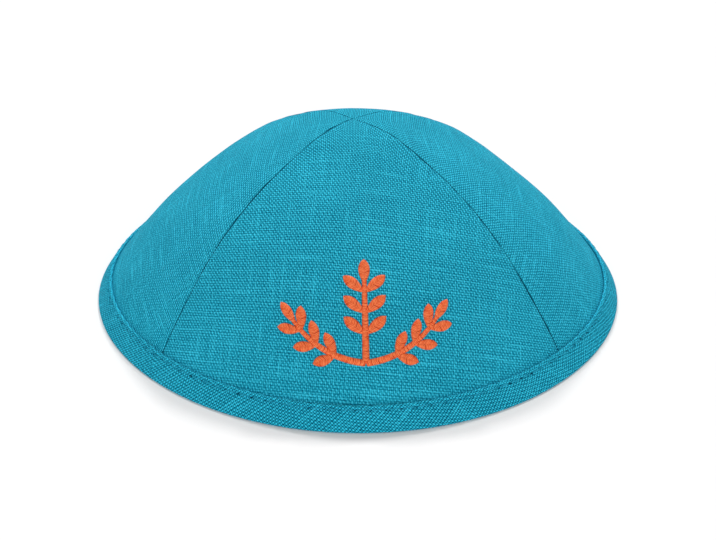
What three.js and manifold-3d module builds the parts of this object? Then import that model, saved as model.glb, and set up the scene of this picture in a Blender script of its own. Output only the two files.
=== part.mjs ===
// A four-panel linen skullcap. Four gores meet at the tip, a folded binding covers their lower edges,
// and a raised embroidered leaf spray sits on the front gore.
// Millimetres, +Z up, the front towards -Y, the binding resting on z = 0 round the origin.

import * as THREE from "three";
import { mergeVertices } from "three/addons/utils/BufferGeometryUtils.js";
import Module from "manifold-3d";

const wasm = await Module();
wasm.setup();

const radians = THREE.MathUtils.degToRad;
const { clamp, lerp, smoothstep } = THREE.MathUtils;

// Rim and binding, in millimetres and degrees
const RIM_RADIUS = 90; // to the outermost point of the binding
const BINDING_WIDTH = 8.6; // up the outside face, from its lower corner before rounding
const BINDING_SLOPE = 55.5; // of the outside face, from the horizontal
const BINDING_CLOTH = 1.0; // each layer of the folded binding
const LOWER_ROUNDING = 0.6; // radius of the fold along the floor
const SLOT_FLOOR = 3.6; // how far up the slope the fold inside the binding lies
const FLOOR_PULL = 0.5; // how far the seams draw in the rim along the floor, over how far its upper edge

// Cloth and the clearances between separate pieces
const CLOTH = 1.2;
const GAP = 0.3;
const PUCKER_DEPTH = 0.5; // how far a panel's edge turns in beside the seam
const PUCKER_WIDTH = 1.6;
const PUCKER_ENDS = 0.06; // share of the seam over which the pucker starts and ends
const TIP_RADIUS = 0.9; // where the pointed panels stop short of the tip

// The crown along a seam, from the tip to the binding's upper edge.
// share: of the seam's length. slope: degrees from the horizontal. square: 0 where the crown is round
// in plan, 1 where its panels are flat. pull: how far the seams draw the round plan in, in millimetres.
const CROWN = [
  { share: 0.0, slope: 0, square: 0.85, pull: 0 },
  { share: 0.08, slope: 4, square: 0.74, pull: 0 },
  { share: 0.2, slope: 21.5, square: 0.65, pull: 0 },
  { share: 0.38, slope: 27, square: 0.36, pull: 0 },
  { share: 0.58, slope: 39, square: 0.17, pull: 0 },
  { share: 0.8, slope: 48.5, square: 0.05, pull: 1.0 },
  { share: 1.0, slope: 55.2, square: 0, pull: 1.4 },
];

// The hand-sewn crown is not quite true: its top leans to the left and so does the very tip
const LEAN = -0.8;
const TIP_SHIFT = -1.0;
const TIP_SHIFT_REACH = 12;

// Panels from seam to seam, in degrees round the cap from the front towards +X
const PANELS = [
  { name: "panel_front", from: -46.5, to: 48.5 },
  { name: "panel_right", from: 48.5, to: 132 },
  { name: "panel_back", from: 132, to: 225 },
  { name: "panel_left", from: 225, to: 313.5 },
];
const HALF_PANEL = Math.PI / 4; // before the true seams are placed, every panel is a quarter turn

// Facets
const COLUMNS = 18; // across a panel
const ROWS = 22; // down a panel
const ROW_CROWDING = 0.45; // 0 spaces the rows evenly, more crowds them towards the tip
const FOLD_STEPS = 4; // along each rounded fold of the binding
const LEAST_BOW = 1e-3; // in radians, below which a panel counts as flat
const SAME_POINT = 1e-4;

// Embroidery, laid out flat on the front panel: x to the right, y up, from its middle
const EMBROIDERY_SHARE = 0.745; // of the seam's length, where its middle lies
const EMBROIDERY_X = 1.2;
const EMBROIDERY_LIFT = 0.45; // clear of the cloth, towards which its long facets dip
const EMBROIDERY_HEIGHT = 0.8;
const EMBROIDERY_WELD = 0.02; // points closer than this are one
const STEM_ROOT_WIDTH = 2.0;
const STEM_END_WIDTH = 1.3;
const STEM_STEPS = 8;
const LEAF_STEPS = 5; // along each side of a leaf
const SPRAY_ROOT = { x: 0, y: -15 };

// Each stem starts at the root. bendX and bendY: its control point. endX and endY: its end.
// pairs: how many pairs of leaves it carries. leaf, width: size of one leaf. splay: its angle to the stem.
const STEMS = [
  { bendX: 0, bendY: -3, endX: 0, endY: 9, pairs: 3, leaf: 7.8, width: 3.3, splay: 50 },
  { bendX: 13, bendY: -13.5, endX: 20.5, endY: -4, pairs: 3, leaf: 7.2, width: 3.1, splay: 44 },
  { bendX: -13, bendY: -13.5, endX: -20.5, endY: -4, pairs: 3, leaf: 7.2, width: 3.1, splay: 44 },
];
const FIRST_PAIR = 0.34; // share of the stem where its lowest pair of leaves grows
const LAST_PAIR = 0.84;
const END_LEAF = 0.94; // the leaf at the stem's end grows from just inside it

// Materials
const LINEN = { color: 0x279ab5, roughness: 0.9, metalness: 0 };
const BINDING_LINEN = { color: 0x2293b0, roughness: 0.9, metalness: 0 };
const THREAD = { color: 0xe56843, roughness: 0.55, metalness: 0 };

// The binding's section. Inward is square to its outside face, up is along the slope.
const bindingSlope = radians(BINDING_SLOPE);
const bindingThickness = 2 * BINDING_CLOTH + 2 * GAP + CLOTH;
const lowerCorner = RIM_RADIUS + LOWER_ROUNDING / Math.tan(bindingSlope / 2) - LOWER_ROUNDING;

function bindingPoint(inward, up) {
  const r = lowerCorner - up * Math.cos(bindingSlope) - inward * Math.sin(bindingSlope);
  const z = up * Math.sin(bindingSlope) - inward * Math.cos(bindingSlope);
  return new THREE.Vector2(r, z);
}

function arc(centre, radius, start, end) {
  const points = [];
  for (let i = 0; i <= FOLD_STEPS; i += 1) {
    const turn = lerp(start, end, i / FOLD_STEPS);
    points.push(new THREE.Vector2(centre.x + radius * Math.cos(turn), centre.y + radius * Math.sin(turn)));
  }
  return points;
}

// The rounded upper edge of one layer, outside face first
function layerEdge(inwardSide) {
  const radius = BINDING_CLOTH / 2;
  const facing = Math.PI / 2 - bindingSlope;
  const centre = bindingPoint(inwardSide + radius, BINDING_WIDTH - radius);
  return arc(centre, radius, facing, facing + Math.PI);
}

function bindingSection() {
  const rounding = new THREE.Vector2(RIM_RADIUS - LOWER_ROUNDING, LOWER_ROUNDING);
  const facing = Math.PI / 2 - bindingSlope;
  const inside = bindingThickness * Math.cos(bindingSlope) / Math.sin(bindingSlope);
  return [
    ...arc(rounding, LOWER_ROUNDING, -Math.PI / 2, facing),
    ...layerEdge(0),
    bindingPoint(BINDING_CLOTH, SLOT_FLOOR),
    bindingPoint(bindingThickness - BINDING_CLOTH, SLOT_FLOOR),
    ...layerEdge(bindingThickness - BINDING_CLOTH),
    bindingPoint(bindingThickness, inside),
  ];
}

// The crown's seam meets the binding's upper edge this far inside it
const hem = bindingPoint(BINDING_CLOTH + GAP, BINDING_WIDTH);

function crownValue(share, column) {
  const next = CROWN.findIndex((row) => row.share >= share);
  if (next < 0) {
    return CROWN[CROWN.length - 1][column];
  }
  if (next === 0) {
    return CROWN[0][column];
  }
  const from = CROWN[next - 1];
  const to = CROWN[next];
  return lerp(from[column], to[column], (share - from.share) / (to.share - from.share));
}

// How far out and down a seam of length 1 has come at a share of its length. Where the slope turns evenly
// the seam is an arc, whose chord runs at the mean slope.
function seamRun(share) {
  let out = 0;
  let down = 0;
  for (let i = 1; i < CROWN.length; i += 1) {
    const from = CROWN[i - 1];
    const to = CROWN[i];
    const part = clamp((share - from.share) / (to.share - from.share), 0, 1);
    const first = radians(from.slope);
    const last = radians(lerp(from.slope, to.slope, part));
    const halfTurn = (last - first) / 2;
    const chord = part * (to.share - from.share) * (halfTurn ? Math.sin(halfTurn) / halfTurn : 1);
    out += chord * Math.cos(first + halfTurn);
    down += chord * Math.sin(first + halfTurn);
  }
  return { out, down };
}

const wholeSeam = seamRun(1);
const SEAM_LENGTH = hem.x / wholeSeam.out;
const TIP_HEIGHT = hem.y + SEAM_LENGTH * wholeSeam.down;

// Radius at an angle from the panel's middle, over the radius at its seams. Each panel bows out in an arc
// between its seams: on the full circle where square is 0, and flat where it is 1.
function planRatio(angle, square) {
  const halfBow = Math.max(HALF_PANEL * (1 - square), LEAST_BOW);
  const bowRadius = Math.sin(HALF_PANEL) / Math.sin(halfBow);
  const bowCentre = Math.cos(HALF_PANEL) - bowRadius * Math.cos(halfBow);
  const along = bowCentre * Math.cos(angle);
  return along + Math.sqrt(along * along - bowCentre * bowCentre + bowRadius * bowRadius);
}

function seamPull(angle, pull) {
  return pull * Math.sin(2 * angle) ** 2;
}

// The seams draw the binding in at its upper edge, and less and less towards the floor
function pullAt(share, height) {
  return crownValue(share, "pull") * lerp(FLOOR_PULL, 1, clamp(height / hem.y, 0, 1));
}

// The angle round the cap of an angle from the panel's middle
function roundCap(panel, angle) {
  return radians(lerp(panel.from, panel.to, 0.5 + angle / (2 * HALF_PANEL)));
}

// Outside face of the crown at a share of the seam, sunk inwards by depth. Past the end of the seam the
// cloth runs on straight inside the binding.
function seamFace(share, depth) {
  const run = seamRun(share);
  const slope = share > 1 ? bindingSlope : radians(crownValue(share, "slope"));
  const tucked = Math.max(share - 1, 0) * SEAM_LENGTH;
  return {
    r: SEAM_LENGTH * run.out + tucked * Math.cos(slope) - depth * Math.sin(slope),
    z: TIP_HEIGHT - SEAM_LENGTH * run.down - tucked * Math.sin(slope) - depth * Math.cos(slope),
  };
}

function crownRadius(angle, share, depth) {
  const face = seamFace(share, depth);
  const ratio = planRatio(angle, crownValue(share, "square"));
  return face.r * ratio - seamPull(angle, pullAt(share, face.z));
}

function crownPoint(panel, angle, share, depth) {
  const radius = crownRadius(angle, share, depth);
  const turn = roundCap(panel, angle);
  const z = seamFace(share, depth).z;
  const tipShift = TIP_SHIFT * Math.exp(-((share * SEAM_LENGTH / TIP_SHIFT_REACH) ** 2));
  const x = radius * Math.sin(turn) + LEAN * z / TIP_HEIGHT + tipShift;
  return new THREE.Vector3(x, -radius * Math.cos(turn), z);
}

// Angle of a column: evenly spaced, but for the last column before each seam, which lies where the pucker
// begins. Half the gap is left at the seam.
function columnAngle(column, share, depth) {
  const seamRadius = crownRadius(HALF_PANEL, share, depth);
  const edge = HALF_PANEL - GAP / 2 / seamRadius;
  const pucker = Math.min(PUCKER_WIDTH / seamRadius, edge / (COLUMNS / 2));
  if (column === 0 || column === COLUMNS) {
    return column === 0 ? -edge : edge;
  }
  return lerp(pucker - edge, edge - pucker, (column - 1) / (COLUMNS - 2));
}

function puckerDepth(column, share) {
  const atSeam = column === 0 || column === COLUMNS;
  const begins = smoothstep(share, PUCKER_ENDS, 2 * PUCKER_ENDS);
  const ends = 1 - smoothstep(share, 1 - 2 * PUCKER_ENDS, 1 - PUCKER_ENDS);
  return atSeam ? PUCKER_DEPTH * begins * ends : 0;
}

const firstShare = TIP_RADIUS / SEAM_LENGTH;
const lastShare = 1 + (BINDING_WIDTH - SLOT_FLOOR - GAP) / SEAM_LENGTH;

// The last row but one lies at the binding's upper edge, where the pull is greatest
function rowShare(row) {
  if (row === ROWS) {
    return lastShare;
  }
  const even = row / (ROWS - 1);
  const crowded = even * (1 - ROW_CROWDING + ROW_CROWDING * even);
  return lerp(firstShare, 1, crowded);
}

// A gridded block laid over the crown: x across the panel, y up to the tip, z outwards
function panelGeometry(panel) {
  const geometry = new THREE.BoxGeometry(COLUMNS, ROWS, 1, COLUMNS, ROWS, 1);
  const position = geometry.attributes.position;
  for (let i = 0; i < position.count; i += 1) {
    const column = Math.round(position.getX(i) + COLUMNS / 2);
    const share = rowShare(ROWS / 2 - position.getY(i));
    const depth = CLOTH * (0.5 - position.getZ(i)) + puckerDepth(column, share);
    const point = crownPoint(panel, columnAngle(column, share, depth), share, depth);
    position.setXYZ(i, point.x, point.y, point.z);
  }
  return solid(geometry);
}

// The binding's columns lie over the panels' own, so that both have the same facets
function bindingAngle(column) {
  if (column === 0 || column === COLUMNS) {
    return column === 0 ? -HALF_PANEL : HALF_PANEL;
  }
  return columnAngle(column, 1, 0);
}

// The section turned round the cap, then drawn in at the seams as the crown's lower edge is
function bindingGeometry() {
  const section = bindingSection();
  const geometry = new THREE.LatheGeometry([...section, section[0]], PANELS.length * COLUMNS);
  const position = geometry.attributes.position;
  for (let i = 0; i < position.count; i += 1) {
    const column = Math.floor(i / (section.length + 1));
    const index = Math.min(Math.floor(column / COLUMNS), PANELS.length - 1);
    const angle = bindingAngle(column - index * COLUMNS);
    const height = position.getY(i);
    const radius = Math.hypot(position.getX(i), position.getZ(i)) - seamPull(angle, pullAt(1, height));
    const turn = roundCap(PANELS[index], angle);
    position.setXYZ(i, radius * Math.sin(turn), -radius * Math.cos(turn), height);
  }
  return solid(geometry);
}

// Position only, with shared corners
function solid(geometry) {
  geometry.deleteAttribute("normal");
  geometry.deleteAttribute("uv");
  const merged = mergeVertices(geometry, SAME_POINT);
  merged.computeVertexNormals();
  return merged;
}

function leafOutline(base, direction, length, width) {
  const tip = base.clone().addScaledVector(direction, length);
  const middle = base.clone().lerp(tip, 0.5);
  const side = new THREE.Vector2(-direction.y, direction.x).multiplyScalar(width);
  const outline = new THREE.Shape();
  outline.moveTo(base.x, base.y);
  outline.quadraticCurveTo(middle.x - side.x, middle.y - side.y, tip.x, tip.y);
  outline.quadraticCurveTo(middle.x + side.x, middle.y + side.y, base.x, base.y);
  return outline;
}

function stemOutline(curve) {
  const left = [];
  const right = [];
  for (let i = 0; i <= STEM_STEPS; i += 1) {
    const along = i / STEM_STEPS;
    const halfWidth = lerp(STEM_ROOT_WIDTH, STEM_END_WIDTH, along ** 2) / 2;
    const tangent = curve.getTangent(along);
    const side = new THREE.Vector2(-tangent.y, tangent.x).multiplyScalar(halfWidth);
    const point = curve.getPoint(along);
    left.push(point.clone().add(side));
    right.push(point.clone().sub(side));
  }
  return new THREE.Shape([...right, ...left.reverse()]);
}

function turned(direction, degrees) {
  return direction.clone().rotateAround(new THREE.Vector2(), radians(degrees));
}

function sprayOutlines() {
  const outlines = [];
  const root = new THREE.Vector2(SPRAY_ROOT.x, SPRAY_ROOT.y);
  for (const stem of STEMS) {
    const bend = new THREE.Vector2(stem.bendX, stem.bendY);
    const end = new THREE.Vector2(stem.endX, stem.endY);
    const curve = new THREE.QuadraticBezierCurve(root, bend, end);
    outlines.push(stemOutline(curve));
    outlines.push(leafOutline(curve.getPoint(END_LEAF), curve.getTangent(1), stem.leaf, stem.width));
    for (let pair = 0; pair < stem.pairs; pair += 1) {
      const along = lerp(FIRST_PAIR, LAST_PAIR, pair / (stem.pairs - 1));
      const tangent = curve.getTangent(along);
      const base = curve.getPoint(along);
      outlines.push(leafOutline(base, turned(tangent, stem.splay), stem.leaf, stem.width));
      outlines.push(leafOutline(base, turned(tangent, -stem.splay), stem.leaf, stem.width));
    }
  }
  return outlines;
}

function toManifold(geometry) {
  const vertProperties = new Float32Array(geometry.attributes.position.array);
  const triVerts = new Uint32Array(geometry.index.array);
  return new wasm.Manifold(new wasm.Mesh({ numProp: 3, vertProperties, triVerts }));
}

function toGeometry(manifold) {
  const mesh = manifold.getMesh();
  const geometry = new THREE.BufferGeometry();
  geometry.setAttribute("position", new THREE.BufferAttribute(new Float32Array(mesh.vertProperties), 3));
  geometry.setIndex([...mesh.triVerts]);
  return geometry;
}

// Joining leaves pairs of points almost in one place: they become one, and the slivers between them go
function weld(geometry) {
  const merged = mergeVertices(geometry, EMBROIDERY_WELD);
  const corners = merged.index.array;
  const kept = [];
  for (let i = 0; i < corners.length; i += 3) {
    const [a, b, c] = corners.slice(i, i + 3);
    if (a !== b && b !== c && c !== a) {
      kept.push(a, b, c);
    }
  }
  merged.setIndex(kept);
  return merged;
}

// Leaves and stems are joined while flat, then laid over the front panel
function embroideryGeometry() {
  const settings = { depth: EMBROIDERY_HEIGHT, bevelEnabled: false, curveSegments: LEAF_STEPS };
  const extruded = sprayOutlines().map((outline) => new THREE.ExtrudeGeometry(outline, settings));
  const pieces = extruded.map((geometry) => toManifold(solid(geometry)));
  const joined = weld(toGeometry(pieces.reduce((whole, next) => whole.add(next))));
  const position = joined.attributes.position;
  for (let i = 0; i < position.count; i += 1) {
    const share = EMBROIDERY_SHARE - position.getY(i) / SEAM_LENGTH;
    const depth = -EMBROIDERY_LIFT - position.getZ(i);
    const angle = (position.getX(i) + EMBROIDERY_X) / crownRadius(0, share, depth);
    const point = crownPoint(PANELS[0], angle, share, depth);
    position.setXYZ(i, point.x, point.y, point.z);
  }
  joined.computeVertexNormals();
  return joined;
}

function piece(name, geometry, material) {
  const mesh = new THREE.Mesh(geometry, material);
  mesh.name = name;
  return mesh;
}

const cap = new THREE.Group();
for (const panel of PANELS) {
  cap.add(piece(panel.name, panelGeometry(panel), new THREE.MeshStandardMaterial(LINEN)));
}
cap.add(piece("rim_band", bindingGeometry(), new THREE.MeshStandardMaterial(BINDING_LINEN)));
cap.add(piece("embroidered_sprig", embroideryGeometry(), new THREE.MeshStandardMaterial(THREAD)));

export default cap;
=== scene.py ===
# A four-panel linen skullcap. Four gores meet at the tip, a bias binding folded over their lower edges
# carries one row of topstitching, and a leaf spray in satin stitch sits on the front gore.
# Shapes are worked out in millimetres and placed in metres: +Z up, the front towards -Y.

import functools
import math

import bmesh
import bpy
from mathutils import Matrix, Vector, noise


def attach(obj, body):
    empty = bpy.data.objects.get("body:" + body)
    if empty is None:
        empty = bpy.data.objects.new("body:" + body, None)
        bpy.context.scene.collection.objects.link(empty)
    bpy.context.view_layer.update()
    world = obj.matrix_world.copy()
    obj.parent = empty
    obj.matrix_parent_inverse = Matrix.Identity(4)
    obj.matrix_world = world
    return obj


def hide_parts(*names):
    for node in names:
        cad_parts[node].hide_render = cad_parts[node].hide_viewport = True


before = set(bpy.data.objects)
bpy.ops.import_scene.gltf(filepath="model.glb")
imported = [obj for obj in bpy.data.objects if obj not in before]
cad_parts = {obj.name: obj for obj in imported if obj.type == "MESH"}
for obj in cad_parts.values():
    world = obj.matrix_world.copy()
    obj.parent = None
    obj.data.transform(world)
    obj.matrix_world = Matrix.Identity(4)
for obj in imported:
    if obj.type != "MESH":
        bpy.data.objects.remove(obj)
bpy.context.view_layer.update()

MM = 0.001
FLAT_THICKNESS = 0.1  # of a flat sheet, until its points are placed
ROW_APART = 1e3  # this and the next sort faces by layer, then by row, then along the row
LAYER_APART = 1e6

# Rim and binding
RIM_RADIUS = 90
BINDING_WIDTH = 8.6
BINDING_SLOPE = math.radians(55.5)
BINDING_CLOTH = 1.0
LOWER_ROUNDING = 0.6
SLOT_FLOOR = 3.6
FLOOR_PULL = 0.5  # the share of the seams' pull that is left along the floor
CLOTH = 1.2
GAP = 0.3
STRIP_THICKNESS = 2 * BINDING_CLOTH + 2 * GAP + CLOTH
SAME_POINT = 1e-6

# The crown along a seam: share of its length, slope, how square the plan is, how far the seams pull in
CROWN = [
    (0.0, math.radians(0), 0.85, 0),
    (0.08, math.radians(4), 0.74, 0),
    (0.2, math.radians(21.5), 0.65, 0),
    (0.38, math.radians(27), 0.36, 0),
    (0.58, math.radians(39), 0.17, 0),
    (0.8, math.radians(48.5), 0.05, 1.0),
    (1.0, math.radians(55.2), 0, 1.4),
]
RIM_PULL = CROWN[-1][3]
FLATTEST_BOW = 1e-3  # the least half angle of a gore's bow
LEAN = -0.8
TIP_SHIFT = -1.0
TIP_SHIFT_REACH = 12
HALF_PANEL = math.pi / 4

# name, node, from and to in degrees round the cap, turn of the grain, stitches along its binding
PANELS = [
    ("front_gore", "panel_front", -46.5, 48.5, 5, 32),
    ("right_gore", "panel_right", 48.5, 132, -5, 28),
    ("back_gore", "panel_back", 132, 225, -3, 31),
    ("left_gore", "panel_left", 225, 313.5, 3, 30),
]
FRONT = PANELS[0]

# Gores
GORE_COLUMNS = 96
GORE_ROWS = 112
SEAM_CROWDING = 2
TIP_CROWDING = 0.4
TIP_OPENING = 0.12
SEAM_GAP = 0.02
SEAM_ROLL = 0.42
SEAM_SHOULDER = 0.14
SHOULDER_WIDTH = 1.4
TIP_REACH = 50  # nearer the tip than this the seams lie flatter, with less roll and less painted shade
TIP_ROLL = 0.5
TIP_SHADE_EASE = 0.12
CUT_SLICES = 100
FAN_BEND = 0.7  # 1 keeps the threads straight in the flat cloth, 0 bends them round the tip
LEAST_RUN = 0.01

# Unevenness of the gores
WAVE = 0.26
WAVE_PITCH = 24
RIPPLE = 0.09
RIPPLE_PITCH = 8
PUCKER = 0.22
PUCKER_PITCH = 5.5
PUCKER_REACH = 3.0
CALM_HEM = 5
CALM_TIP = 8
GORES_APART = 10  # keeps the noise of one gore apart from the next
SEAMS_APART = 3

# Binding and topstitching
STITCH_COLUMNS = 9
STITCH_CROWDING = 0.62
STITCH_ROW = 7.1
FACE_STEPS = 17
FACE_CROWDING = 1.5
FOLD_RADIUS = 0.6
FOLD_STEPS = 7
FOLD_HIGHLIGHT_START = 7.9  # how far up the face the painted highlight on the fold begins
SCALLOP = 0.22
SCALLOP_EASE = 1
BINDING_RIPPLE = 0.14
BINDING_RIPPLES = 30
RIPPLE_HEIGHT = 5
RIPPLE_START = 1.5
RIPPLE_FULL = 3.5
BIAS = math.radians(-45)
HOLE_SHADE = 0.5
HOLE_DEPTH = 0.5
HOLE_LENGTH = 0.85
HOLE_HEIGHT = 0.42
GROOVE_DEPTH = 0.1
GROOVE_HEIGHT = 0.8
FIRMNESS = 0.8
HAND = 0.4  # how unevenly the stitches are pulled tight
HAND_STEP = 0.73
THREAD_RADIUS = 0.17
THREAD_SHARE = 0.84
THREAD_SIDES = 6
THREAD_RINGS = 8
THREAD_BLUNTNESS = 0.8
THREAD_FULLNESS = 1.3
THREAD_LIFT = 0.55

# Embroidery, flat on the front gore
EMBROIDERY_SHARE = 0.745
EMBROIDERY_X = 1.2
EMBROIDERY_SUNK = 0.25
SATIN_HEIGHT = 0.85
SATIN_PITCH = 0.45
SATIN_RIDGE = 0.12
SATIN_NOTCH = 0.07
SATIN_BULGE = 2.4
SATIN_CROWDING = 1.6
SATIN_ROWS = 4
FULL_REACH = 0.8  # a pad narrower than this to each side lies lower
LEAF_COLUMNS = 12
LEAF_SLANT = 0.45
LEAF_POINT = 0.03
LEAF_VEIN = 0.35
VEIN_WIDTH = 0.16
STEM_COLUMNS = 8
STEM_SLANT = 0.3
STEM_STEPS = 20
STEM_ROOT_WIDTH = 2.0
STEM_END_WIDTH = 1.3
SPRAY_ROOT = Vector((0, -15))
STEMS = [
    {"bend": Vector((0, -3)), "end": Vector((0, 9)), "leaf": 7.8, "width": 3.3, "splay": 50},
    {"bend": Vector((13, -13.5)), "end": Vector((20.5, -4)), "leaf": 7.2, "width": 3.1, "splay": 44},
    {"bend": Vector((-13, -13.5)), "end": Vector((-20.5, -4)), "leaf": 7.2, "width": 3.1, "splay": 44},
]
PAIRS = 3
FIRST_PAIR = 0.34
LAST_PAIR = 0.84
END_LEAF = 0.94

# Weave, in millimetres of flat cloth
WARP_PITCH = 0.575
WEFT_PITCH = 0.80
WARP_WANDER = 0.38
WEFT_WANDER = 0.46
WANDER_LENGTH = 12
WANDER_WIDTH = 2.6
STREAK_LENGTH = 20
STREAKS_A_THREAD = 0.9
FIBRE_SIZE = 0.19
KNOT_WIDTH = 0.6
KNOT_HEIGHT = 0.5
CLOUD_SIZE = 22
WEFT_SLUB = (0.62, 0.8)  # a thread pales into a slub between these two streak values
WARP_SLUB = (0.64, 0.82)
SEAM_SHADE_STEPS = (0.02, 0.34)
WEAVE_RELIEF = 0.16
STREAK_RELIEF = 0.5  # this and the next as shares of the weave's
FIBRE_RELIEF = 0.3

# How much each thing lightens the linen. A tone of 0 is its dark colour, 0.5 the middle and 1 the light.
MIDDLE_TONE = 0.508
CHECKS = 0.9
HEIGHT_TONE = 0.4
MEAN_HEIGHT = 0.68
OVER_TONE = 0.12
TWIST_TONE = 0.13
WARP_TONE = 0.27
WEFT_TONE = 0.25
MEAN_LINES = 0.33
LEAST_CONTRAST = 0.95
# a painted highlight along the binding's upper fold, where it catches the light
FOLD_HIGHLIGHT_TONE = 0.22
WEFT_STREAK_TONE = 0.2
WARP_STREAK_TONE = 0.18
SLUB_TONE = 0.16
KNOT_TONE = 0.9
FIBRE_TONE = 0.95
CLOUD_TONE = 0.08

# The same for the satin, and its filaments
SATIN_TONE = 0.37
GROOVE_SHADE_TONE = 0.55
FILAMENT_TONE = 1.4
STRAND_TONE = 1.5
EDGE_SHADE_TONE = 0.16
FILAMENTS_A_THREAD = 7
FILAMENT_BREAKS = 1.5
STRANDS_A_THREAD = 0.9
STRAND_BREAKS = 0.4
FILAMENT_RELIEF = 0.05

# Sewing thread
SEWING_FIBRES = 2600.0  # in a metre
SEWING_BLEND = (0.35, 0.65)
SEWING_RELIEF = 0.04

# Dark, middle and light, then for linen the colour of the painted shade in its seams and needle holes. The
# sewing thread has dark and light only.
CAP_COLOURS = (
    (0.0, 0.091, 0.17, 1),
    (0.008, 0.32, 0.47, 1),
    (0.056, 0.67, 0.905, 1),
    (0.0, 0.045, 0.09, 1),
)
# The binding's linen is set darker than the cap's: partly its own colour, partly painted shade for the low
# band that faces away from the lights behind
STRIP_COLOURS = (
    (0.0, 0.076, 0.145, 1),
    (0.004, 0.285, 0.428, 1),
    (0.045, 0.645, 0.885, 1),
    (0.0, 0.04, 0.085, 1),
)
SATIN_COLOURS = ((0.36, 0.022, 0.002, 1), (0.85, 0.095, 0.015, 1), (1.0, 0.27, 0.09, 1))
SEWING_COLOURS = ((0.004, 0.2, 0.31, 1), (0.03, 0.42, 0.6, 1))

# name, power, and in degrees its spread, its elevation and its turn round the cap from the front
LIGHTS = [
    ("soft_from_behind_right", 1.46, 7, 43, 158),
    ("soft_from_behind_left", 1.34, 7, 43, 202),
    ("soft_front_fill", 1.33, 50, 20, 0),
]
SKY_STRENGTH = 0.43
SKY_COLOUR = (1, 0.985, 0.972, 1)
FLOOR_SIZE = 12  # metres from its middle to an edge
FLOOR_COLOUR = (0.89, 0.88, 0.879, 1)

# Camera
CAMERA_DISTANCE = 0.42  # metres
CAMERA_ELEVATION = math.radians(29.2)
CAMERA_TILT = math.radians(0.15)
AIM_HEIGHT = 3.7
FOCAL_LENGTH = 60.06
SENSOR_WIDTH = 36


def lerp(start, end, share):
    return start + (end - start) * share


def rise(value, start, end):
    """0 up to start, 1 from end on, and even between."""
    return min(max((value - start) / (end - start), 0), 1)


def crowd(share, power):
    """-1 to 1, drawn towards both ends."""
    return math.copysign(1 - (1 - abs(share)) ** power, share)


def binding_point(inward, up):
    """Radius and height of a point of the binding's section."""
    lower_corner = RIM_RADIUS + LOWER_ROUNDING / math.tan(BINDING_SLOPE / 2) - LOWER_ROUNDING
    radius = lower_corner - up * math.cos(BINDING_SLOPE) - inward * math.sin(BINDING_SLOPE)
    return radius, up * math.sin(BINDING_SLOPE) - inward * math.cos(BINDING_SLOPE)


def binding_depth(radius, height):
    """How far inward and up a point of the section lies: the other way round."""
    in_from_corner = binding_point(0, 0)[0] - radius
    up = in_from_corner * math.cos(BINDING_SLOPE) + height * math.sin(BINDING_SLOPE)
    return in_from_corner * math.sin(BINDING_SLOPE) - height * math.cos(BINDING_SLOPE), up


def seam_run(share):
    """How far out and down a seam of length 1 has come at a share of its length."""
    out = 0
    down = 0
    for above, below in zip(CROWN, CROWN[1:]):
        part = rise(share, above[0], below[0])
        half_turn = (lerp(above[1], below[1], part) - above[1]) / 2
        chord = part * (below[0] - above[0])
        if half_turn:
            chord *= math.sin(half_turn) / half_turn
        out += chord * math.cos(above[1] + half_turn)
        down += chord * math.sin(above[1] + half_turn)
    return out, down


HEM_RADIUS, HEM_HEIGHT = binding_point(BINDING_CLOTH + GAP, BINDING_WIDTH)
SEAM_LENGTH = HEM_RADIUS / seam_run(1)[0]
TIP_HEIGHT = HEM_HEIGHT + SEAM_LENGTH * seam_run(1)[1]
LAST_SHARE = 1 + (BINDING_WIDTH - SLOT_FLOOR - GAP) / SEAM_LENGTH
STITCHES = sum(panel[5] for panel in PANELS)
STITCH_PITCH = 2 * math.pi * binding_point(0, STITCH_ROW)[0] / STITCHES


@functools.cache
def seam_at(share):
    """Radius, height, slope, squareness and pull of the outside face along a seam."""
    out, down = seam_run(share)
    if share > 1:
        slope = BINDING_SLOPE
        square, pull = CROWN[-1][2:]
    else:
        above, below = next(pair for pair in zip(CROWN, CROWN[1:]) if share <= pair[1][0])
        part = rise(share, above[0], below[0])
        slope, square, pull = (lerp(a, b, part) for a, b in zip(above[1:], below[1:]))
    tucked = max(share - 1, 0) * SEAM_LENGTH
    radius = SEAM_LENGTH * out + tucked * math.cos(slope)
    height = TIP_HEIGHT - SEAM_LENGTH * down - tucked * math.sin(slope)
    return radius, height, slope, square, pull


def plan_bow(square):
    """Half angle, radius and centre of the arc that a gore bows out in, for seams at radius 1."""
    half_bow = max(HALF_PANEL * (1 - square), FLATTEST_BOW)
    bow_radius = math.sin(HALF_PANEL) / math.sin(half_bow)
    return half_bow, bow_radius, math.cos(HALF_PANEL) - bow_radius * math.cos(half_bow)


def pull_in(angle, pull, height):
    """How far the seams draw the cap in: most at the binding's upper edge, and less towards the floor."""
    eased = lerp(FLOOR_PULL, 1, rise(height, 0, HEM_HEIGHT))
    return pull * eased * math.sin(2 * angle) ** 2


def crown_radius(angle, share, depth):
    radius, height, slope, square, pull = seam_at(share)
    _, bow_radius, bow_centre = plan_bow(square)
    along = bow_centre * math.cos(angle)
    ratio = along + math.sqrt(along * along - bow_centre * bow_centre + bow_radius * bow_radius)
    pulled = pull_in(angle, pull, height - depth * math.cos(slope))
    return (radius - depth * math.sin(slope)) * ratio - pulled


def crown_point(panel, angle, share, depth):
    """A point of the crown, in metres."""
    _, height, slope, _, _ = seam_at(share)
    radius = crown_radius(angle, share, depth)
    height -= depth * math.cos(slope)
    turn = math.radians(lerp(panel[2], panel[3], 0.5 + angle / (2 * HALF_PANEL)))
    tip_shift = TIP_SHIFT * math.exp(-((share * SEAM_LENGTH / TIP_SHIFT_REACH) ** 2))
    x = radius * math.sin(turn) + LEAN * height / TIP_HEIGHT + tip_shift
    return Vector((x, -radius * math.cos(turn), height)) * MM


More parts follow.
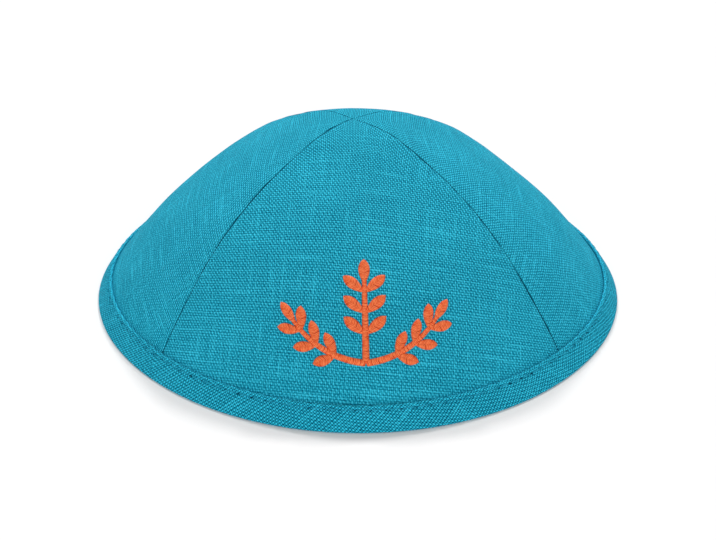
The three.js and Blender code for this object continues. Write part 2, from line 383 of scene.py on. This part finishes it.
def gore_width(panel, share):
    """Across a gore from seam to seam, in its flat cloth."""
    radius, _, _, square, _ = seam_at(share)
    half_bow, bow_radius, _ = plan_bow(square)
    return 2 * half_bow * bow_radius * radius * (panel[3] - panel[2]) / 90


def flat_gore(panel, angle, share):
    """Where a point of a gore lies in the flat cloth it was cut from, with the tip at the origin."""
    run = max(share * SEAM_LENGTH, LEAST_RUN)
    fan = gore_width(panel, share) / run * angle / (2 * HALF_PANEL)
    eased = run * (FAN_BEND * math.sin(fan) + (1 - FAN_BEND) * fan)
    return Vector((eased, -run * (1 - FAN_BEND * (1 - math.cos(fan)))))


def cut_size(panel):
    """Width, length and area of the flat cloth of a gore, in metres."""
    length = LAST_SHARE * SEAM_LENGTH
    width = 2 * flat_gore(panel, HALF_PANEL, LAST_SHARE).x
    middles = [(cut + 0.5) / CUT_SLICES * LAST_SHARE for cut in range(CUT_SLICES)]
    area = sum(gore_width(panel, share) for share in middles) * length / CUT_SLICES
    return width * MM, length * MM, area * MM * MM


def wave(panel, angle, share):
    """How far the cloth of a gore stands out of its even curve."""
    place = flat_gore(panel, angle, share)
    side = PANELS.index(panel) * GORES_APART
    run = share * SEAM_LENGTH
    calm = rise(SEAM_LENGTH - run, 0, CALM_HEM) * rise(run, 0, CALM_TIP)
    slow = noise.noise(Vector((place.x / WAVE_PITCH, place.y / WAVE_PITCH, side)))
    side_apart = side + GORES_APART / 2
    quick = noise.noise(Vector((place.x / RIPPLE_PITCH, place.y / RIPPLE_PITCH, side_apart)))
    to_seam = (HALF_PANEL - abs(angle)) * seam_at(share)[0]
    sewn = noise.noise(Vector((run / PUCKER_PITCH, math.copysign(SEAMS_APART, angle), side)))
    sewn *= math.exp(-to_seam / PUCKER_REACH)
    return calm * (WAVE * slow + RIPPLE * quick + PUCKER * sewn)


def roll(distance):
    """How deep the cloth has turned down beside a seam."""
    shoulder = SEAM_SHOULDER * math.exp(-distance / SHOULDER_WIDTH)
    if distance >= SEAM_ROLL:
        return shoulder
    return shoulder + SEAM_ROLL - math.sqrt(SEAM_ROLL**2 - (SEAM_ROLL - distance) ** 2)


def order_faces(bm):
    """Lists the faces by where they lie, since some operators list them in another order on each run."""
    def place(face):
        middle = face.calc_center_median()
        return middle.x + ROW_APART * middle.y + LAYER_APART * middle.z

    bm.faces.sort(key=place)


def flat_sheet(bm, columns, rows):
    """Makes a flat closed sheet. Gives the height that parts its upper face from its lower."""
    bmesh.ops.create_grid(bm, x_segments=columns, y_segments=rows, size=0.5)
    bmesh.ops.solidify(bm, geom=bm.faces[:], thickness=FLAT_THICKNESS)
    order_faces(bm)
    heights = [vert.co.z for vert in bm.verts]
    return (min(heights) + max(heights)) / 2


def join(bm, part):
    """Adds a part to the rest of a piece."""
    mesh = bpy.data.meshes.new("part")
    part.to_mesh(mesh)
    part.free()
    bm.from_mesh(mesh)
    bpy.data.meshes.remove(mesh)


def finished(name, bm, finish, node):
    """The shaped cloth or thread as an object. Where a node is named, it stands for that plain solid."""
    mesh = bpy.data.meshes.new(name)
    bm.to_mesh(mesh)
    bm.free()
    mesh.shade_smooth()
    piece = bpy.data.objects.new(name, mesh)
    bpy.context.scene.collection.objects.link(piece)
    mesh.materials.append(finish)
    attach(piece, "root")
    if node:
        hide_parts(node)
    return piece


def gore(panel, finish):
    """One gore: a flat sheet laid over the crown in the cloth's thickness, with its edges rolled in."""
    name, node, _, _, grain, _ = panel
    bm = bmesh.new()
    middle = flat_sheet(bm, GORE_COLUMNS, GORE_ROWS)
    seam_shade_distance = bm.verts.layers.float.new("seam")
    weave = bm.loops.layers.uv.new("weave")
    grain_turn = Matrix.Rotation(math.radians(grain), 2)
    for vert in bm.verts:
        down = 0.5 - vert.co.y
        crowded = down * lerp(1 - TIP_CROWDING, 1, down)
        share = lerp(TIP_OPENING / SEAM_LENGTH, LAST_SHARE, crowded)
        seam_radius = crown_radius(HALF_PANEL, share, 0)
        edge = HALF_PANEL - SEAM_GAP / 2 / seam_radius
        angle = crowd(2 * vert.co.x, SEAM_CROWDING) * edge
        to_seam = (edge - abs(angle)) * seam_radius
        from_tip = rise(share * SEAM_LENGTH, 0, TIP_REACH)
        if vert.co.z > middle:
            depth = roll(to_seam) * lerp(TIP_ROLL, 1, from_tip)
        else:
            depth = CLOTH
        depth -= wave(panel, angle, share)
        # painted shade: the distance to the seam darkens the cloth's colour in the seam's crease
        vert[seam_shade_distance] = to_seam + TIP_SHADE_EASE * (1 - from_tip)
        place = grain_turn @ flat_gore(panel, angle, share)
        for loop in vert.link_loops:
            loop[weave].uv = place
        vert.co = crown_point(panel, angle, share, depth)
    bmesh.ops.recalc_face_normals(bm, faces=bm.faces)
    return finished(name, bm, finish, node)


def arc(centre, radius, start, end):
    turns = [lerp(start, end, step / FOLD_STEPS) for step in range(FOLD_STEPS + 1)]
    return [(centre[0] + radius * math.cos(turn), centre[1] + radius * math.sin(turn)) for turn in turns]


def binding_face(inward, start, end):
    """Points up one face of the binding, closest together at the row of stitches."""
    points = []
    for step in range(FACE_STEPS):
        drawn = lerp(-1, 1, (step + 0.5) / FACE_STEPS)
        span = end - STITCH_ROW if drawn > 0 else STITCH_ROW - start
        up = STITCH_ROW + span * math.copysign(abs(drawn) ** FACE_CROWDING, drawn)
        points.append(binding_point(inward, up))
    return points


def binding_section():
    """The folded strip in section, from its lower inner corner round by the outside."""
    thickness = STRIP_THICKNESS
    facing = math.pi / 2 - BINDING_SLOPE
    corner = binding_point(thickness, thickness / math.tan(BINDING_SLOPE))
    inner_corner = (corner[0] + LOWER_ROUNDING * math.tan(BINDING_SLOPE / 2), LOWER_ROUNDING)
    fold_height = BINDING_WIDTH - FOLD_RADIUS
    outer_fold = binding_point(FOLD_RADIUS, fold_height)
    inner_fold = binding_point(thickness - FOLD_RADIUS, fold_height)
    outer_corner = (RIM_RADIUS - LOWER_ROUNDING, LOWER_ROUNDING)
    low = binding_depth(*outer_corner)[1]
    inner_low = binding_depth(*inner_corner)[1]
    inner_face = binding_face(thickness, inner_low, fold_height)
    return [
        *arc(inner_corner, LOWER_ROUNDING, facing - math.pi, -math.pi / 2),
        *arc(outer_corner, LOWER_ROUNDING, -math.pi / 2, facing),
        *binding_face(0, low, fold_height),
        *arc(outer_fold, FOLD_RADIUS, facing, facing + math.pi),
        binding_point(2 * FOLD_RADIUS, (SLOT_FLOOR + fold_height) / 2),
        binding_point(2 * FOLD_RADIUS, SLOT_FLOOR),
        binding_point(thickness - 2 * FOLD_RADIUS, SLOT_FLOOR),
        binding_point(thickness - 2 * FOLD_RADIUS, (SLOT_FLOOR + fold_height) / 2),
        *arc(inner_fold, FOLD_RADIUS, facing, facing + math.pi),
        *reversed(inner_face),
    ]


def closed_section():
    """The binding's section back to its first point, and how far round it each point lies."""
    section = binding_section()
    section.append(section[0])
    runs = [0]
    for before, after in zip(section, section[1:]):
        runs.append(runs[-1] + math.dist(before, after))
    return section, runs


def strip_cut():
    """Width and length of the flat strip, in metres.

    They are half of the way round its section, and its row of stitches.
    """
    runs = closed_section()[1]
    return runs[-1] / 2 * MM, STITCHES * STITCH_PITCH * MM


def binding_place(stitch, inward, up):
    """A point of the binding, in metres, a number of stitches round from the front gore's left seam."""
    stitch %= STITCHES
    for panel in PANELS:
        if stitch < panel[5]:
            break
        stitch -= panel[5]
    along = stitch / panel[5]
    radius, height = binding_point(inward, up)
    radius -= pull_in((2 * along - 1) * HALF_PANEL, RIM_PULL, height)
    turn = math.radians(lerp(panel[2], panel[3], along))
    return Vector((radius * math.sin(turn), -radius * math.cos(turn), height)) * MM


def dent(stitch, up):
    """How deep the stitches draw the binding in, and how near a needle hole is, from 0 to 1."""
    along = (stitch % 1 - 0.5) * STITCH_PITCH
    above = up - STITCH_ROW
    firm = FIRMNESS + HAND * noise.noise(Vector((HAND_STEP * math.floor(stitch % STITCHES), 0.5, 0.5)))
    hole = firm * math.exp(-((along / HOLE_LENGTH) ** 2) - (above / HOLE_HEIGHT) ** 2)
    groove = math.exp(-((above / GROOVE_HEIGHT) ** 2))
    return HOLE_DEPTH * hole + GROOVE_DEPTH * groove, hole


def binding(finish):
    """The folded strip: a long sheet bent round its section, closed, and drawn in by the stitches."""
    section, runs = closed_section()
    rows = len(section) - 1
    bm = bmesh.new()
    bmesh.ops.create_grid(bm, x_segments=STITCHES * STITCH_COLUMNS, y_segments=rows, size=0.5)
    needle_hole_shade = bm.verts.layers.float.new("seam")
    fold_highlight = bm.verts.layers.float.new("fold")
    weave = bm.loops.layers.uv.new("weave")
    bias_turn = Matrix.Rotation(BIAS, 2)
    for vert in bm.verts:
        even = (vert.co.x + 0.5) * STITCHES
        row = round((vert.co.y + 0.5) * rows)
        stitch = even + STITCH_CROWDING * math.sin(2 * math.pi * even) / (2 * math.pi)
        inward, up = binding_depth(*section[row])
        depth, hole = dent(stitch, up)
        outside = 1 - rise(inward, 0, FOLD_RADIUS)
        inside = 1 - rise(STRIP_THICKNESS - inward, 0, FOLD_RADIUS)
        turn = 2 * math.pi * stitch / STITCHES
        circle = (BINDING_RIPPLES * math.cos(turn), BINDING_RIPPLES * math.sin(turn))
        ripple = noise.noise(Vector((*circle, up / RIPPLE_HEIGHT)))
        rippled = BINDING_RIPPLE * rise(up, RIPPLE_START, RIPPLE_FULL)
        inward += outside * (depth - rippled * ripple) - inside * depth
        scalloped = rise(up, STITCH_ROW - SCALLOP_EASE, STITCH_ROW + SCALLOP_EASE)
        up -= SCALLOP * scalloped * (0.5 + 0.5 * math.cos(2 * math.pi * (stitch - 0.5)))
        # painted shade at each needle hole, kept in the seam layer
        vert[needle_hole_shade] = HOLE_SHADE * (1 - hole * max(outside, inside))
        # painted highlight: the top of the fold is lightened in colour where it catches the light
        vert[fold_highlight] = rise(up, FOLD_HIGHLIGHT_START, BINDING_WIDTH)
        place = bias_turn @ Vector((stitch * STITCH_PITCH, runs[row]))
        for loop in vert.link_loops:
            loop[weave].uv = place
        vert.co = binding_place(stitch, inward, up)
    bmesh.ops.remove_doubles(bm, verts=bm.verts, dist=SAME_POINT)
    bmesh.ops.recalc_face_normals(bm, faces=bm.faces)
    return finished("folded_binding", bm, finish, "rim_band")


def topstitch(finish):
    """One thread lying in the groove between each two needle holes, outside and inside."""
    bm = bmesh.new()
    for number in range(STITCHES):
        for face, outwards in ((0, -1), (STRIP_THICKNESS, 1)):
            thread = bmesh.new()
            bmesh.ops.create_uvsphere(thread, u_segments=THREAD_SIDES, v_segments=THREAD_RINGS, radius=1)
            order_faces(thread)
            for vert in thread.verts:
                along = math.copysign(abs(vert.co.z) ** THREAD_BLUNTNESS, vert.co.z)
                stitch = number + 1 + THREAD_SHARE / 2 * along
                fullness = min(1, THREAD_FULLNESS * math.sqrt(max(1 - vert.co.z**2, 0)))
                reach = math.hypot(vert.co.x, vert.co.y) or 1
                out = THREAD_RADIUS * fullness * (THREAD_LIFT + vert.co.x / reach)
                up = STITCH_ROW + THREAD_RADIUS * fullness * vert.co.y / reach
                depth = dent(stitch, STITCH_ROW)[0]
                vert.co = binding_place(stitch, face + outwards * (out - depth), up)
            join(bm, thread)
    bmesh.ops.recalc_face_normals(bm, faces=bm.faces)
    return finished("rim_topstitch", bm, finish, None)


def curve_point(stem, share):
    return SPRAY_ROOT * (1 - share) ** 2 + stem["bend"] * 2 * share * (1 - share) + stem["end"] * share**2


def curve_tangent(stem, share):
    return ((stem["bend"] - SPRAY_ROOT) * (1 - share) + (stem["end"] - stem["bend"]) * share).normalized()


def lay_on_front(place, lift):
    """A point of the embroidery over the front gore, in metres."""
    share = EMBROIDERY_SHARE - place.y / SEAM_LENGTH
    angle = (place.x + EMBROIDERY_X) / crown_radius(0, share, 0)
    return crown_point(FRONT, angle, share, -lift - wave(FRONT, angle, share))


def satin(bm, length, columns, spine, half_width, slant, vein):
    """A closed pad of satin stitch along a spine: a ridge for each thread across it."""
    rows = SATIN_ROWS * round(length / SATIN_PITCH)
    pad = bmesh.new()
    strand = pad.verts.layers.float_vector.new("strand")
    middle = flat_sheet(pad, columns, rows)
    for vert in pad.verts:
        edge = crowd(2 * vert.co.x, SATIN_CROWDING)
        along = vert.co.y + 0.5
        ridge = abs(math.sin(math.pi * along * rows / SATIN_ROWS))
        reach = half_width(along) - SATIN_NOTCH * (1 - ridge) * abs(edge)
        place, tangent = spine(along)
        side = Vector((-tangent.y, tangent.x))
        place = place + side * edge * reach + tangent * slant * abs(edge) * reach
        crown = math.sqrt(max(1 - abs(edge) ** SATIN_BULGE, 0))
        parted = 1 - vein * math.exp(-((edge / VEIN_WIDTH) ** 2))
        lift = crown * (SATIN_HEIGHT * min(1, reach / FULL_REACH) * parted + SATIN_RIDGE * (ridge - 1))
        if vert.co.z < middle:
            lift = -EMBROIDERY_SUNK
        vert[strand] = (along * rows / SATIN_ROWS, edge, ridge)
        vert.co = lay_on_front(place, lift)
    join(bm, pad)


def leaf(bm, base, direction, length, width):
    def half_width(along):
        return max(2 * along * (1 - along) * width, LEAF_POINT)

    def spine(along):
        return base + direction * length * along, direction

    satin(bm, length, LEAF_COLUMNS, spine, half_width, LEAF_SLANT, LEAF_VEIN)


def stalk(bm, stem):
    def half_width(along):
        return lerp(STEM_ROOT_WIDTH, STEM_END_WIDTH, along**2) / 2

    def spine(along):
        return curve_point(stem, along), curve_tangent(stem, along)

    places = [curve_point(stem, step / STEM_STEPS) for step in range(STEM_STEPS + 1)]
    length = sum((after - before).length for before, after in zip(places, places[1:]))
    satin(bm, length, STEM_COLUMNS, spine, half_width, STEM_SLANT, 0)


def spray(finish):
    """Three stems in satin stitch, each worked over the feet of its leaves."""
    bm = bmesh.new()
    bm.verts.layers.float_vector.new("strand")
    for stem in STEMS:
        leaf(bm, curve_point(stem, END_LEAF), curve_tangent(stem, 1), stem["leaf"], stem["width"])
        for pair in range(PAIRS):
            along = lerp(FIRST_PAIR, LAST_PAIR, pair / (PAIRS - 1))
            for splay in (stem["splay"], -stem["splay"]):
                direction = Matrix.Rotation(math.radians(splay), 2) @ curve_tangent(stem, along)
                leaf(bm, curve_point(stem, along), direction, stem["leaf"], stem["width"])
        stalk(bm, stem)
    bmesh.ops.recalc_face_normals(bm, faces=bm.faces)
    return finished("satin_leaf_spray", bm, finish, "embroidered_sprig")


class Yarn:
    """A value or colour running through a finish; arithmetic on values adds Math nodes."""

    def __init__(self, finish, socket):
        self.finish = finish
        self.socket = socket

    def outlet(self, number):
        return Yarn(self.finish, self.socket.node.outputs[number])

    def __add__(self, other):
        return self.finish.math("ADD", self, other)

    def __sub__(self, other):
        return self.finish.math("SUBTRACT", self, other)

    def __rsub__(self, other):
        return self.finish.math("SUBTRACT", other, self)

    def __mul__(self, other):
        return self.finish.math("MULTIPLY", self, other)

    def __truediv__(self, other):
        return self.finish.math("DIVIDE", self, other)

    def __abs__(self):
        return self.finish.math("ABSOLUTE", self)

    __radd__ = __add__
    __rmul__ = __mul__


class Finish:
    """One material, made node by node."""

    def __init__(self, name):
        self.material = bpy.data.materials.new(name)
        self.material.use_nodes = True
        self.tree = self.material.node_tree
        self.tree.nodes.clear()

    def node(self, kind, settings, values):
        """A node with its settings made first, then its sockets' values or links."""
        made = self.tree.nodes.new(kind)
        for key, value in settings.items():
            setattr(made, key, value)
        for key, value in values.items():
            if isinstance(value, Yarn):
                self.tree.links.new(value.socket, made.inputs[key])
            else:
                made.inputs[key].default_value = value
        return Yarn(self, made.outputs[0]) if made.outputs else None

    def math(self, operation, *values):
        return self.node("ShaderNodeMath", {"operation": operation}, dict(enumerate(values)))

    def attribute(self, name):
        return self.node("ShaderNodeAttribute", {"attribute_name": name}, {})

    def parts(self, place):
        """The three values of a place."""
        split = self.node("ShaderNodeSeparateXYZ", {}, {0: place})
        return split, split.outlet(1), split.outlet(2)

    def mix(self, amount, low, high):
        """A colour between two."""
        settings = {"data_type": "RGBA", "clamp_factor": True}
        return self.node("ShaderNodeMix", settings, {0: amount, 6: low, 7: high}).outlet(2)

    def shade(self, tone, dark, middle, light):
        """A colour from dark at 0, by middle at a half, to light at 1."""
        return self.mix(2 * tone - 1, self.mix(2 * tone, dark, middle), light)

    def speckle(self, x, y, detail=1.0):
        """Even noise about 0.5 over a plane. A number added to x or y keeps it apart from another."""
        place = self.node("ShaderNodeCombineXYZ", {}, {0: x, 1: y})
        values = {"Vector": place, "Scale": 1.0, "Detail": detail, "Roughness": 0.5}
        return self.node("ShaderNodeTexNoise", {"noise_dimensions": "2D"}, values)

    def steps(self, value, low, high):
        """0 below low, 1 above high and smooth between."""
        settings = {"interpolation_type": "SMOOTHSTEP"}
        return self.node("ShaderNodeMapRange", settings, {0: value, 1: low, 2: high})

    def done(self, values, height=None, relief=0.0):
        """The finished material, embossed by height where one is given."""
        if height:
            values["Normal"] = self.node("ShaderNodeBump", {}, {"Distance": relief, "Height": height})
        shader = self.node("ShaderNodeBsdfPrincipled", {}, values)
        self.node("ShaderNodeOutputMaterial", {}, {"Surface": shader})
        return self.material


def linen(name, colours, lines, contrast, fade):
    """Plain-woven linen with uneven threads, over a flat pattern in millimetres.

    Its single threads show as much as lines says, and the contrast of the weave fades down the cloth.
    """
    dark, middle, light, painted_shade = colours
    finish = Finish(name)
    across, down, _ = finish.parts(finish.node("ShaderNodeUVMap", {"uv_map": "weave"}, {}))
    warp_wander = finish.speckle(across / WANDER_WIDTH, down / WANDER_LENGTH) - 0.5
    weft_wander = finish.speckle(across / WANDER_LENGTH + 70, down / WANDER_WIDTH) - 0.5
    warp_phase = (across + WARP_WANDER * warp_wander) * (math.pi / WARP_PITCH)
    weft_phase = (down + WEFT_WANDER * weft_wander) * (math.pi / WEFT_PITCH)
    warp_turn = finish.math("SINE", warp_phase)
    weft_turn = finish.math("SINE", weft_phase)
    warp = 0.5 * abs(warp_turn) + 0.5 * finish.math("SIGN", warp_turn) * weft_turn
    weft = 0.5 * abs(weft_turn) - 0.5 * finish.math("SIGN", weft_turn) * warp_turn
    height = finish.math("MAXIMUM", warp, weft)
    over = warp_turn * weft_turn
    twist = finish.math("COSINE", warp_phase + weft_phase)
    warp_streak = finish.speckle(across / WARP_PITCH * STREAKS_A_THREAD, down / STREAK_LENGTH + 30)
    weft_streak = finish.speckle(across / STREAK_LENGTH, down / WEFT_PITCH * STREAKS_A_THREAD + 50)
    fibre = finish.speckle(across / FIBRE_SIZE, down / FIBRE_SIZE)
    knot = finish.speckle(across / KNOT_WIDTH + 20, down / KNOT_HEIGHT + 20)
    cloud = finish.speckle(across / CLOUD_SIZE, down / CLOUD_SIZE + 90)

    tone = CHECKS * (HEIGHT_TONE * (height - MEAN_HEIGHT) + OVER_TONE * over - TWIST_TONE * twist)
    tone = tone + lines * (WARP_TONE * abs(warp_turn) + WEFT_TONE * abs(weft_turn) - MEAN_LINES)
    tone = tone * finish.math("MAXIMUM", contrast + fade * down, LEAST_CONTRAST)
    # the fold layer adds a painted highlight along the binding's upper fold
    tone = MIDDLE_TONE + tone + FOLD_HIGHLIGHT_TONE * finish.attribute("fold").outlet(2)
    slub = finish.steps(weft_streak, *WEFT_SLUB) + finish.steps(warp_streak, *WARP_SLUB)
    tone = tone + WEFT_STREAK_TONE * (weft_streak - 0.5) + WARP_STREAK_TONE * (warp_streak - 0.5)
    tone = tone + SLUB_TONE * slub + KNOT_TONE * (knot - 0.5)
    tone = tone + FIBRE_TONE * (fibre - 0.5) + CLOUD_TONE * (cloud - 0.5)
    # painted shade in the seams of the gores and at the binding's needle holes
    out_of_painted_shade = finish.steps(finish.attribute("seam").outlet(2), *SEAM_SHADE_STEPS)
    values = {
        "Base Color": finish.mix(out_of_painted_shade, painted_shade, finish.shade(tone, dark, middle, light)),
        "Roughness": 0.84 + 0.12 * fibre,
        "Specular IOR Level": 0.05,
    }
    relief = height + STREAK_RELIEF * weft_streak + FIBRE_RELIEF * fibre
    return finish.done(values, relief, WEAVE_RELIEF * MM)


def stitch_thread(name, dark, light):
    """Fine twisted sewing thread."""
    finish = Finish(name)
    place = finish.node("ShaderNodeTexCoord", {}, {}).outlet(3)
    fibre = finish.node("ShaderNodeTexNoise", {}, {"Vector": place, "Scale": SEWING_FIBRES, "Detail": 2.0})
    values = {
        "Base Color": finish.mix(finish.steps(fibre, *SEWING_BLEND), dark, light),
        "Roughness": 0.7 + 0.2 * fibre,
        "Specular IOR Level": 0.05,
    }
    return finish.done(values, fibre, SEWING_RELIEF * MM)


def satin_thread(name, colours):
    """Glossy embroidery thread lying side by side, each of many filaments."""
    finish = Finish(name)
    count, across, ridge = finish.parts(finish.attribute("strand").outlet(1))
    filament = finish.speckle(count * FILAMENTS_A_THREAD, across * FILAMENT_BREAKS, 2.0)
    strand = finish.speckle(count * STRANDS_A_THREAD + 11, across * STRAND_BREAKS)
    # painted shade: darker in the grooves between threads and towards the pad's edges, where the threads
    # turn down
    tone = SATIN_TONE + GROOVE_SHADE_TONE * ridge - EDGE_SHADE_TONE * across * across
    tone = tone + FILAMENT_TONE * (filament - 0.5) + STRAND_TONE * (strand - 0.5)
    values = {
        "Base Color": finish.shade(tone, *colours),
        "Roughness": 0.42 + 0.25 * filament,
        "Specular IOR Level": 0.25,
    }
    return finish.done(values, filament, FILAMENT_RELIEF * MM)


def studio():
    """A pale floor under an even sky, with two soft lights from behind and a wide one from the front."""
    bm = bmesh.new()
    bmesh.ops.create_grid(bm, x_segments=1, y_segments=1, size=FLOOR_SIZE)
    mesh = bpy.data.meshes.new("pale_floor")
    bm.to_mesh(mesh)
    bm.free()
    floor = bpy.data.objects.new("pale_floor", mesh)
    bpy.context.scene.collection.objects.link(floor)
    paper = {"Base Color": FLOOR_COLOUR, "Roughness": 1.0, "Specular IOR Level": 0.0}
    mesh.materials.append(Finish("pale_paper").done(paper))
    for name, power, spread, elevation, turn in LIGHTS:
        lamp = bpy.data.lights.new(name, "SUN")
        lamp.energy = power
        lamp.angle = math.radians(spread)
        hung = bpy.data.objects.new(name, lamp)
        hung.rotation_euler = (math.radians(90 - elevation), 0, math.radians(turn))
        bpy.context.scene.collection.objects.link(hung)
    world = bpy.data.worlds.new("even_sky")
    world.use_nodes = True
    sky = world.node_tree.nodes["Background"].inputs
    sky["Color"].default_value = SKY_COLOUR
    sky["Strength"].default_value = SKY_STRENGTH
    bpy.context.scene.world = world
    bpy.context.scene.view_settings.view_transform = "Standard"


def photograph():
    """The camera, at the photograph's angle and framing."""
    lens = bpy.data.cameras.new("camera")
    lens.lens = FOCAL_LENGTH
    lens.sensor_width = SENSOR_WIDTH
    lens.clip_start = 0.01
    lens.clip_end = 50
    camera = bpy.data.objects.new("camera", lens)
    back = Vector((0, -math.cos(CAMERA_ELEVATION), math.sin(CAMERA_ELEVATION)))
    up = Vector((0, math.sin(CAMERA_ELEVATION), math.cos(CAMERA_ELEVATION)))
    right = Vector((1, 0, 0))
    turned_right = right * math.cos(CAMERA_TILT) + up * math.sin(CAMERA_TILT)
    turned_up = up * math.cos(CAMERA_TILT) - right * math.sin(CAMERA_TILT)
    camera.matrix_world = Matrix((turned_right, turned_up, back)).transposed().to_4x4()
    camera.location = Vector((0, 0, AIM_HEIGHT * MM)) + back * CAMERA_DISTANCE
    bpy.context.scene.collection.objects.link(camera)
    bpy.context.scene.camera = camera


cap_linen = linen("cap_linen", CAP_COLOURS, lines=1.0, contrast=1.75, fade=0.008)
strip_linen = linen("strip_linen", STRIP_COLOURS, lines=1.6, contrast=1.5, fade=0.0)
sewing = stitch_thread("sewing_thread", *SEWING_COLOURS)
orange = satin_thread("orange_satin", SATIN_COLOURS)

photograph()
studio()

gores = [gore(panel, cap_linen) for panel in PANELS]
strip = binding(strip_linen)
stitching = topstitch(sewing)
sprig = spray(orange)

for panel, piece in zip(PANELS, gores):
    width, length, area = cut_size(panel)
strip_cut()
